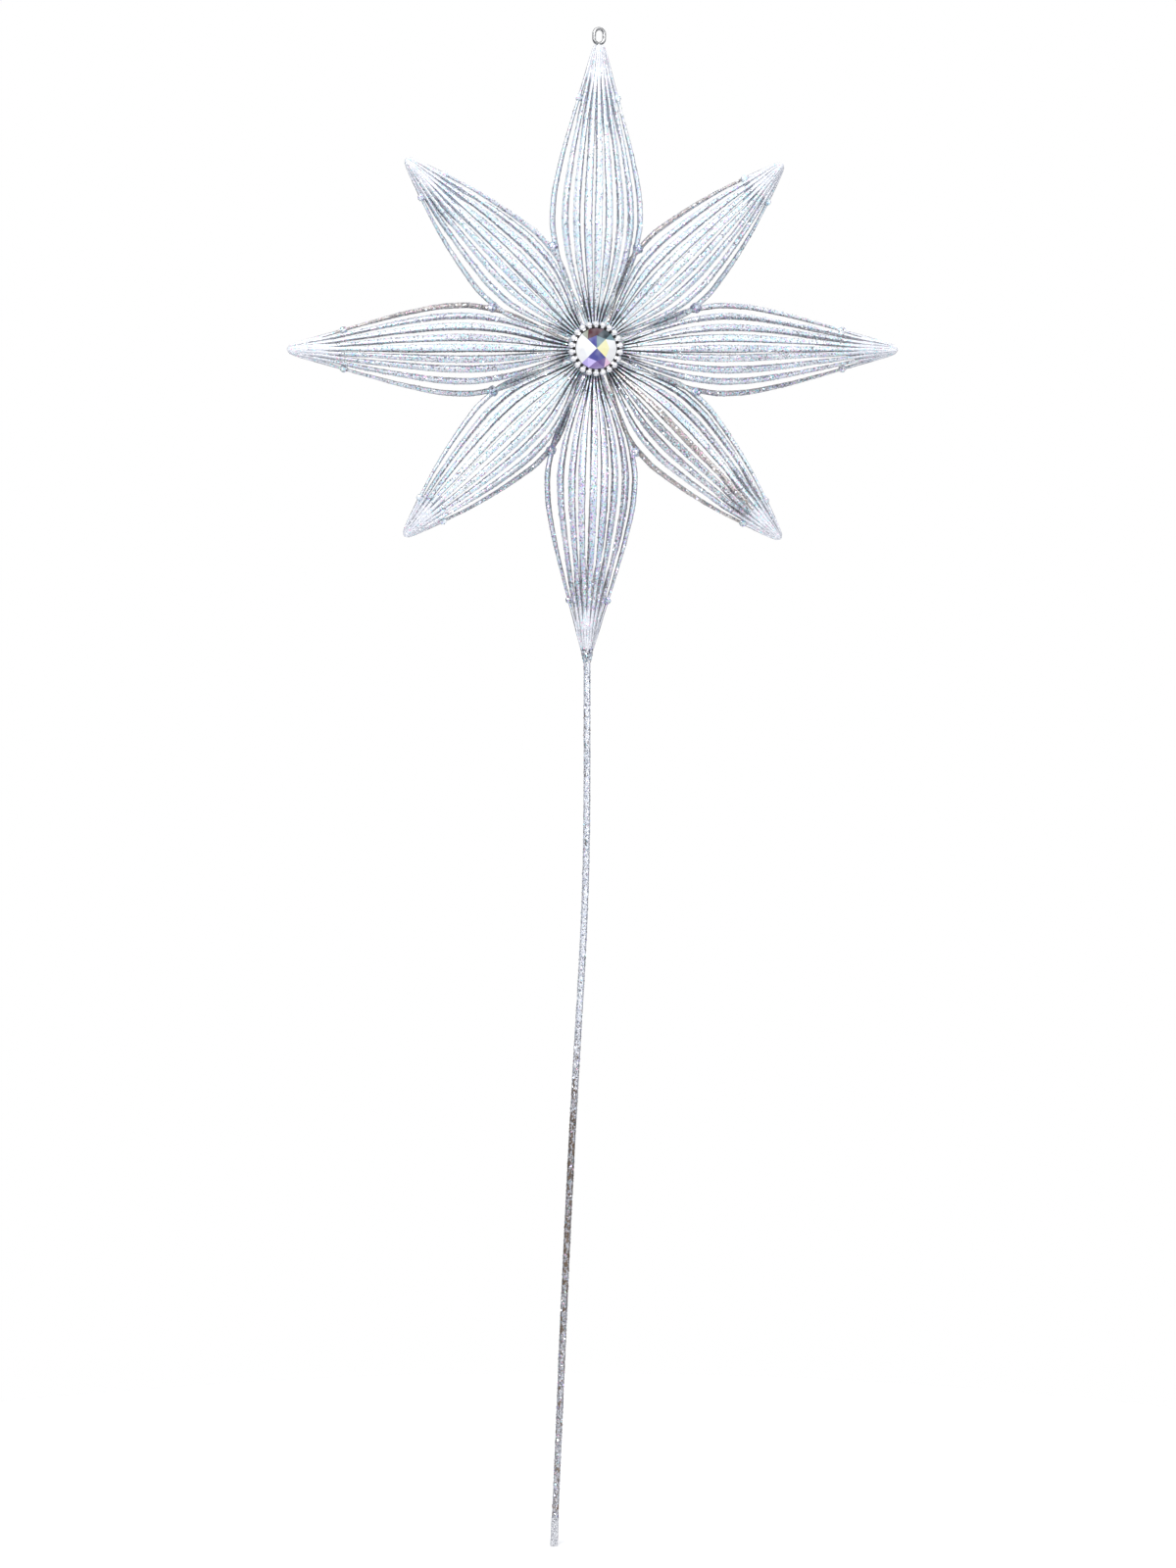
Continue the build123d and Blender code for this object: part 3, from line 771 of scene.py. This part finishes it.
def stone_glass():
    n = Nodes("stone_glass", Metallic=0.12, Roughness=0.04, Coat_Weight=1.0, Coat_Roughness=0.02)
    # Each facet's colour: partly its coating, partly a painted reflection.
    tint = n.node("ShaderNodeAttribute", attribute_name="facet_tint_and_reflection").outputs["Color"]
    sheen = n.noise(5.0, 1.0)
    colour = n.mix(n.spread(sheen, 0.0, 0.25, 0.4, 0.75), tint, (0.80, 0.86, 0.95))
    n.link(colour, n.bsdf.inputs["Base Color"])
    return n.material


def build_stone():
    """A stone with a flat back, an outer tier of narrow facets, and an inner tier that meets in a point."""
    tip_y, back_y = stone_low.y / MM, stone_high.y / MM
    levels = [(8.0, back_y), (stone_radius, back_y - 1.6), (stone_radius, back_y - 2.1)]
    sides, inner_sides = len(outer_tints), len(inner_tints)
    turn, inner_turn = (np.arange(count) * 2 * np.pi / count for count in (sides, inner_sides))
    rings = [around_hub(radius, y, turn) for radius, y in levels]
    table = around_hub(0.62 * stone_radius, tip_y + 1.0, inner_turn)
    poles = around_hub(0.0, tip_y, [0.0]), around_hub(0.0, back_y, [0.0])
    points = np.concatenate([*rings, table, *poles])
    girdle, table_at = 2 * sides, 3 * sides
    tip, back = table_at + inner_sides, table_at + inner_sides + 1
    faces, tints = [], []
    for i in range(sides):
        j = (i + 1) % sides
        faces += [(back, i, j), (i, i + sides, j + sides), (i, j + sides, j)]
        faces += [(i + sides, i + girdle, j + girdle), (i + sides, j + girdle, j + sides)]
        tints += [PEARL, PLUM, PLUM, TEAL, TEAL]
    for i in range(inner_sides):
        j = (i + 1) % inner_sides
        faces.append((table_at + i, tip, table_at + j))
        tints.append(inner_tints[i])
        left, mid, right = (2 * i - 1) % sides, 2 * i, (2 * i + 1) % sides
        faces += [(girdle + left, table_at + i, girdle + mid), (girdle + mid, table_at + i, girdle + right)]
        faces.append((girdle + right, table_at + i, table_at + j))
        tints += [outer_tints[left], outer_tints[mid], outer_tints[right]]
    stone = Shape()
    stone.add(points, convex_faces(points, faces), 0, False)
    piece = stone.build("centre_stone_faceted", [stone_glass()])
    colour = piece.data.color_attributes.new("facet_tint_and_reflection", "FLOAT_COLOR", "CORNER")
    colour.data.foreach_set("color", np.repeat([(*t, 1.0) for t in tints], 3, axis=0).ravel())
    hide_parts("centre_stone")
    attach(piece, "flower")


build_stone()

# ---- Drops of cement between the petals ----------------------------------------------------
bond_coat = glitter(
    "bond_coat", (0.78, 0.85, 0.97), (0.48, 0.56, 0.80),
    [(0.05, SMOKE), (0.08, CYAN), (0.06, VIOLET), (0.05, PINK), (0.14, WHITE)], size=0.8,
)
DROPS, DROP_RADIUS = 8, 2.5
DROP_ROWS, DROP_SIDES = 14, 20
DROP_TINTS = (4, 6, 0.8, 2.2, 0.6, 2.0, 0.5, 0, 5)


def swelling(points, phase):
    """How far a drop swells at these points of a unit ball."""
    x, y, z = points[:, :1], points[:, 1:2], points[:, 2:]
    return 1 + 0.12 * np.sin(4 * x + phase[0]) * np.cos(5 * z + phase[1]) + 0.05 * np.sin(9 * y + phase[2])


def build_bonds():
    cad = node_points("petal_bonds") / MM
    bearing = np.degrees(np.arctan2(cad[:, 0] - hub[0] / MM, cad[:, 2] - hub[2] / MM)) % 360
    random = np.random.default_rng(77)
    points, quads, poles = unit_ball(DROP_ROWS, DROP_SIDES)
    outer = tube_faces(DROP_ROWS - 2, DROP_SIDES)
    bonds, surfaces = Shape(), []
    for drop in range(DROPS):
        turn = 360 / DROPS * (drop + 0.5)
        near = cad[np.abs((bearing - turn + 180) % 360 - 180) < 15]
        centre = (near.min(0) + near.max(0)) / 2
        phase = random.uniform(0, 6, 3)
        flat = centre + points * swelling(points, phase) * DROP_RADIUS
        bonds.add(flat, quads)
        bonds.add_faces(poles)
        corner = flat[outer]
        surfaces.append((corner, unit(corner.mean(1) - centre), np.ones(len(outer))))
    scatter(bonds, surfaces, 700, random, np.arange(len(flakes)) + 1, DROP_TINTS, radius=0.45)
    piece = bonds.build("petal_bonds_glittered", [bond_coat, *flakes])
    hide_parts("petal_bonds")
    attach(piece, "flower")


build_bonds()

# ---- Stem ----------------------------------------------------------------------------------
sleeve_low, sleeve_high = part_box("stem_sleeve")
stem_top = sleeve_high.z
# how much of the coat is worn off, at shares of the stem's height
WORN = (
    (0.0, 0.35), (0.05, 0.55), (0.13, 0.40), (0.25, 0.55), (0.34, 0.80), (0.48, 0.85),
    (0.55, 0.40), (0.66, 0.12), (0.83, 0.20), (1.0, 0.10),
)
PALE_FROM = (0.42, 0.62)  # shares of the stem's height where its grey coat turns pale
GREY_CELLS = [
    (0.0, (0.44, 0.45, 0.49)), (0.35, (0.34, 0.355, 0.40)), (0.58, (0.54, 0.55, 0.59)),
    (0.76, (0.14, 0.14, 0.155)), (0.93, (0.42, 0.35, 0.36)),
]
PALE_CELLS = [
    (0.0, (0.86, 0.89, 0.95)), (0.35, (0.70, 0.75, 0.84)), (0.58, (0.96, 0.97, 1.0)),
    (0.80, (0.26, 0.27, 0.31)), (0.93, (0.80, 0.76, 0.88)),
]
SLEEVE_RINGS, SLEEVE_SIDES = 380, 16
LOWER_TINTS = (3, 2, 0.7, 0.5, 0.3, 0.7, 4.5, 0.8, 1.0)
UPPER_TINTS = (4, 4, 0.5, 1.0, 0.3, 0.7, 2.4, 0.1, 5)
WORN_TINTS = (0, 0, 0, 0, 0, 0, 2, 6, 0)


def centre_line(node, heights):
    """x of the centre of an upright-ish tube in the plane y = 0 at these heights."""
    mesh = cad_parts[node].data
    tree = BVHTree.FromPolygons([v.co for v in mesh.vertices], [p.vertices for p in mesh.polygons])
    centres = []
    for z in heights:
        left = tree.ray_cast(Vector((-1, 0, z)), Vector((1, 0, 0)))[0]
        right = tree.ray_cast(Vector((1, 0, z)), Vector((-1, 0, 0)))[0]
        centres.append((left.x + right.x) / 2)
    return np.array(centres)


def worn_share(z_mm):
    at, share = np.array(WORN).T
    return np.interp(z_mm * MM / stem_top, at, share)


def pale_share(z_mm):
    return step_up(z_mm * MM / stem_top, *PALE_FROM)


def stem_coat():
    """Glitter, grey below and pale above, worn through to brown in spots drawn out along the stem."""
    n = Nodes("stem_coat", Metallic=0.45, Coat_Weight=0.3, Coat_Roughness=0.2)
    cell, distance = n.cells(0.6)
    parts = n.node("ShaderNodeSeparateXYZ")
    n.link(n.place, parts.inputs[0])
    height = n.spread(parts.outputs["Z"], 0.0, 1.0, 0.0, stem_top)
    share = n.ramp(height, [(at, (v, v, v)) for at, v in WORN])
    stretch = n.node("ShaderNodeMapping")
    stretch.inputs["Scale"].default_value = (1.0, 1.0, 0.45)
    n.link(n.place, stretch.inputs["Vector"])
    spots = n.noise(1.5, 3.0, stretch.outputs["Vector"])
    cut = n.spread(share, 0.68, 0.44)
    over = n.node("ShaderNodeMath", operation="SUBTRACT")
    n.link(spots, over.inputs[0])
    n.link(cut, over.inputs[1])
    worn = n.spread(over.outputs[0], 0.0, 1.0, 0.0, 0.05)
    bare = n.mix(n.noise(0.8), (0.05, 0.035, 0.025), (0.26, 0.19, 0.13))
    grey_cells = n.ramp(n.split(cell, "Red"), GREY_CELLS, steps=True)
    pale_cells = n.ramp(n.split(cell, "Red"), PALE_CELLS, steps=True)
    silvered = n.mix(n.spread(height, 0.0, 1.0, *PALE_FROM), grey_cells, pale_cells)
    n.link(n.mix(worn, silvered, bare), n.bsdf.inputs["Base Color"])
    n.link(n.spread(n.split(cell, "Blue"), 0.2, 0.55), n.bsdf.inputs["Roughness"])
    n.bump(n.mix(0.5, distance, cell), 0.6, 0.15)
    return n.material


def build_sleeve():
    """The stem's lumpy glittered covering, along the CAD sleeve's own centre line."""
    heights = np.linspace(sleeve_low.z + 0.0003, sleeve_high.z - 0.0001, SLEEVE_RINGS)
    centres = centre_line("stem_sleeve", heights)
    radius = (sleeve_high.y - sleeve_low.y) / 2 / MM
    random = np.random.default_rng(501)
    lumps = 0.95 + 0.035 * np.sin(heights * 2100)[:, None] * random.uniform(0.2, 1, (SLEEVE_RINGS, 1))
    lumps = lumps + random.uniform(-0.025, 0.025, (SLEEVE_RINGS, SLEEVE_SIDES))
    line = np.stack([centres, np.zeros(SLEEVE_RINGS), heights], 1) / MM
    flat = (line[:, None] + circle(SLEEVE_SIDES) * (radius * lumps)[:, :, None]).reshape(-1, 3)
    quads = tube_faces(SLEEVE_RINGS, SLEEVE_SIDES)
    sleeve = Shape()
    sleeve.add(flat, quads)
    add_cap(sleeve, flat[:SLEEVE_SIDES], (0, 0, -1))
    add_cap(sleeve, flat[-SLEEVE_SIDES:], (0, 0, 1))
    ones = np.ones(len(quads))
    surface = [(flat[quads], unit(quad_normals(flat[quads])), ones, ones)]
    tints = np.arange(len(flakes)) + 1

    def grey(middle, level):
        return (1.1 - worn_share(middle[:, 2])) * (1.05 - pale_share(middle[:, 2]))

    def pale(middle, level):
        return pale_share(middle[:, 2])

    def worn(middle, level):
        return worn_share(middle[:, 2]) ** 1.5

    scatter(sleeve, surface, 2200, random, tints, LOWER_TINTS, keep=grey)
    scatter(sleeve, surface, 1500, random, tints, UPPER_TINTS, keep=pale)
    scatter(sleeve, surface, 1900, random, tints, WORN_TINTS, keep=worn)
    piece = sleeve.build("stem_sleeve_glittered", [stem_coat(), *flakes])
    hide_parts("stem_sleeve")
    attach(piece, "stem")


build_sleeve()

# ---- Collar ----------------------------------------------------------------------------------
COLLAR_FOOT, COLLAR_BORE = 1.9, 1.1  # radii
COLLAR_TINTS = (4, 4, 0.6, 1.4, 0.5, 1.0, 3.5, 0.6, 6)
collar_coat = glitter(
    "collar_coat", (0.86, 0.89, 0.96), (0.48, 0.51, 0.60),
    [(0.20, SMOKE), (0.04, UMBER), (0.24, WHITE), (0.06, CYAN)], size=1.0,
)


def build_collar():
    """A rough hollow cone that widens upwards, with coarse glitter."""
    low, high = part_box("stem_collar")
    top = (high.x - low.x) / 2 / MM
    foot = np.array([(low.x + high.x) / 2 / MM, 0, low.z / MM])
    rise = np.array([0, 0, high.z / MM - low.z / MM])
    random = np.random.default_rng(611)
    sides = 20
    outside = [(COLLAR_FOOT + (top - COLLAR_FOOT) * t, t) for t in np.linspace(0, 1, 9)]
    rows = []
    for radius, t in [(COLLAR_BORE, 0.0), *outside, (COLLAR_BORE, 1.0)]:
        rough = random.uniform(0.92, 1.0, (sides, 1)) if radius > COLLAR_BORE else 1.0
        rows.append(foot + rise * t + circle(sides) * radius * rough)
    flat = np.concatenate(rows)
    quads = tube_faces(len(rows), sides)
    collar = Shape()
    collar.add(flat, np.concatenate([quads, join_ends(len(rows), sides)]))
    corner = flat[quads[sides:-sides]]  # the cone alone
    surface = (corner, unit(quad_normals(corner)), np.ones(len(corner)))
    tints = np.arange(len(flakes)) + 1
    scatter(collar, [surface], 300, random, tints, COLLAR_TINTS, radius=0.5)
    piece = collar.build("stem_collar_glittered", [collar_coat, *flakes])
    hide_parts("stem_collar")
    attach(piece, "collar")


build_collar()

# ---- Carried-over CAD pieces ---------------------------------------------------------------------


def worn_metal(name, dark, light, roughness, size=2.0):
    n = Nodes(name, Metallic=1.0)
    n.link(n.mix(n.noise(size, 4.0), dark, light), n.bsdf.inputs["Base Color"])
    n.link(n.spread(n.noise(0.6 * size, 3.0), *roughness), n.bsdf.inputs["Roughness"])
    n.bump(n.noise(0.3 * size, 2.0), 0.12, 0.05)
    return n.material


def moulded(name, dark, light, roughness, size=4.0):
    n = Nodes(name, Coat_Weight=0.1)
    n.link(n.mix(n.noise(size, 3.0), dark, light), n.bsdf.inputs["Base Color"])
    n.link(n.spread(n.noise(0.4 * size, 3.0), *roughness), n.bsdf.inputs["Roughness"])
    n.bump(n.noise(0.15 * size, 2.0), 0.2, 0.05)
    return n.material


def dress(node, material):
    """Gives a carried-over CAD node its material."""
    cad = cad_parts[node]
    if not cad.material_slots:
        cad.data.materials.append(material)
    for place in cad.material_slots:
        place.material = material


hub_coat = glitter("hub_coat", (0.80, 0.81, 0.87), (0.50, 0.51, 0.60), FLECKS)
dress("front_hub", hub_coat)
dress("back_hub", hub_coat)
dress("centre_pin", worn_metal("pin_metal", (0.45, 0.45, 0.47), (0.78, 0.78, 0.80), (0.18, 0.40)))
dress("stone_adhesive", moulded("clear_adhesive", (0.55, 0.50, 0.38), (0.75, 0.70, 0.55), (0.10, 0.30)))
dress("hanging_eye", worn_metal("eye_metal", (0.30, 0.30, 0.30), (0.66, 0.66, 0.66), (0.25, 0.50), 1.2))
dress("stem_socket", moulded("socket_plastic", (0.70, 0.70, 0.74), (0.82, 0.82, 0.85), (0.35, 0.55)))
dress("stem_wire", worn_metal("steel_wire", (0.38, 0.38, 0.40), (0.62, 0.62, 0.63), (0.25, 0.45)))
cap_flecks = [(0.14, SMOKE), (0.10, WHITE)]
dress("stem_end_cap", glitter("cap_coat", (0.50, 0.51, 0.55), (0.26, 0.27, 0.31), cap_flecks, size=0.4))

# ---- Stage, light and camera -----------------------------------------------------------------------
scene = bpy.context.scene
scene.view_settings.view_transform = "Standard"

paper = Nodes("paper", Roughness=0.9, Emission_Strength=0.22)
paper.bsdf.inputs["Emission Color"].default_value = (1.0, 1.0, 1.0, 1.0)
paper.link(
    paper.ramp(paper.noise(400.0, 2.0), [(0.3, (0.86, 0.86, 0.87)), (0.7, (0.90, 0.90, 0.90))]),
    paper.bsdf.inputs["Base Color"],
)
FLOOR_RADIUS, FLOOR_SIDES = 0.55, 64
FLOOR_LEVEL = -0.0004  # just under the stem's foot
floor_mesh = bpy.data.meshes.new("studio_floor")
floor_rim = circle(FLOOR_SIDES) * FLOOR_RADIUS + (0, 0, FLOOR_LEVEL)
floor_mesh.from_pydata(floor_rim.tolist(), [], [tuple(range(FLOOR_SIDES))])
floor_mesh.materials.append(paper.material)
floor = bpy.data.objects.new("studio_floor", floor_mesh)
scene.collection.objects.link(floor)

# The camera sees a white world, and the object is lit by a dimmer one that is brighter above.
world = bpy.data.worlds.new("studio")
scene.world = world
world.use_nodes = True
tree = world.node_tree
seen, lit = tree.nodes["Background"], tree.nodes.new("ShaderNodeBackground")
seen.inputs["Color"].default_value = (1.0, 1.0, 1.0, 1.0)
seen.inputs["Strength"].default_value = 1.0
sky = tree.nodes.new("ShaderNodeValToRGB")
sky.color_ramp.elements[0].color = (0.30, 0.32, 0.38, 1.0)
sky.color_ramp.elements[1].color = (0.95, 0.97, 1.0, 1.0)
direction = tree.nodes.new("ShaderNodeTexCoord")
axes = tree.nodes.new("ShaderNodeSeparateXYZ")
upward = tree.nodes.new("ShaderNodeMapRange")
upward.inputs["From Min"].default_value = -0.3
tree.links.new(direction.outputs["Generated"], axes.inputs[0])
tree.links.new(axes.outputs["Z"], upward.inputs["Value"])
tree.links.new(upward.outputs["Result"], sky.inputs["Fac"])
tree.links.new(sky.outputs["Color"], lit.inputs["Color"])
lit.inputs["Strength"].default_value = 0.5
path = tree.nodes.new("ShaderNodeLightPath")
choose = tree.nodes.new("ShaderNodeMixShader")
tree.links.new(path.outputs["Is Camera Ray"], choose.inputs["Fac"])
tree.links.new(lit.outputs[0], choose.inputs[1])
tree.links.new(seen.outputs[0], choose.inputs[2])
tree.links.new(choose.outputs[0], tree.nodes["World Output"].inputs["Surface"])


def softbox(name, place, size, power, target=(0.0, 0.0, 0.55)):
    """A rectangular area light that looks at the target."""
    light = bpy.data.lights.new(name, "AREA")
    light.shape = "RECTANGLE"
    light.size, light.size_y = size
    light.energy = power
    lamp = bpy.data.objects.new(name, light)
    lamp.location = place
    lamp.rotation_mode = "QUATERNION"
    lamp.rotation_quaternion = (Vector(target) - Vector(place)).to_track_quat("-Z", "Y")
    scene.collection.objects.link(lamp)


softbox("key", (-1.0, -2.3, 1.7), (1.2, 1.2), 60)
softbox("fill", (1.7, -1.9, 0.9), (0.8, 1.4), 20)
softbox("top", (0.0, 0.2, 2.6), (1.6, 1.0), 10)
softbox("back", (0.9, 1.6, 1.7), (1.2, 1.0), 14)

VIEW_DISTANCE = 2.4
VIEW_YAW, VIEW_PITCH = math.radians(5.93), math.radians(1.95)
VIEW_HEIGHT = 0.7805  # of the frame, at the object
VIEW_RIGHT, VIEW_ABOVE = 0.0171, 0.0028  # of the point looked at, from the stem's foot and the middle
middle = (cad_low + cad_high) / 2
looking_at = Vector((VIEW_RIGHT, 0.0, middle.z + VIEW_ABOVE))
level = math.cos(VIEW_PITCH)
forward = Vector((math.sin(VIEW_YAW) * level, math.cos(VIEW_YAW) * level, -math.sin(VIEW_PITCH)))
camera = bpy.data.objects.new("camera", bpy.data.cameras.new("camera"))
camera.data.lens = camera.data.sensor_width / 2 / (VIEW_HEIGHT / 2 / VIEW_DISTANCE)
camera.location = looking_at - forward * VIEW_DISTANCE
camera.rotation_mode = "QUATERNION"
camera.rotation_quaternion = forward.to_track_quat("-Z", "Y")
scene.collection.objects.link(camera)
scene.camera = camera
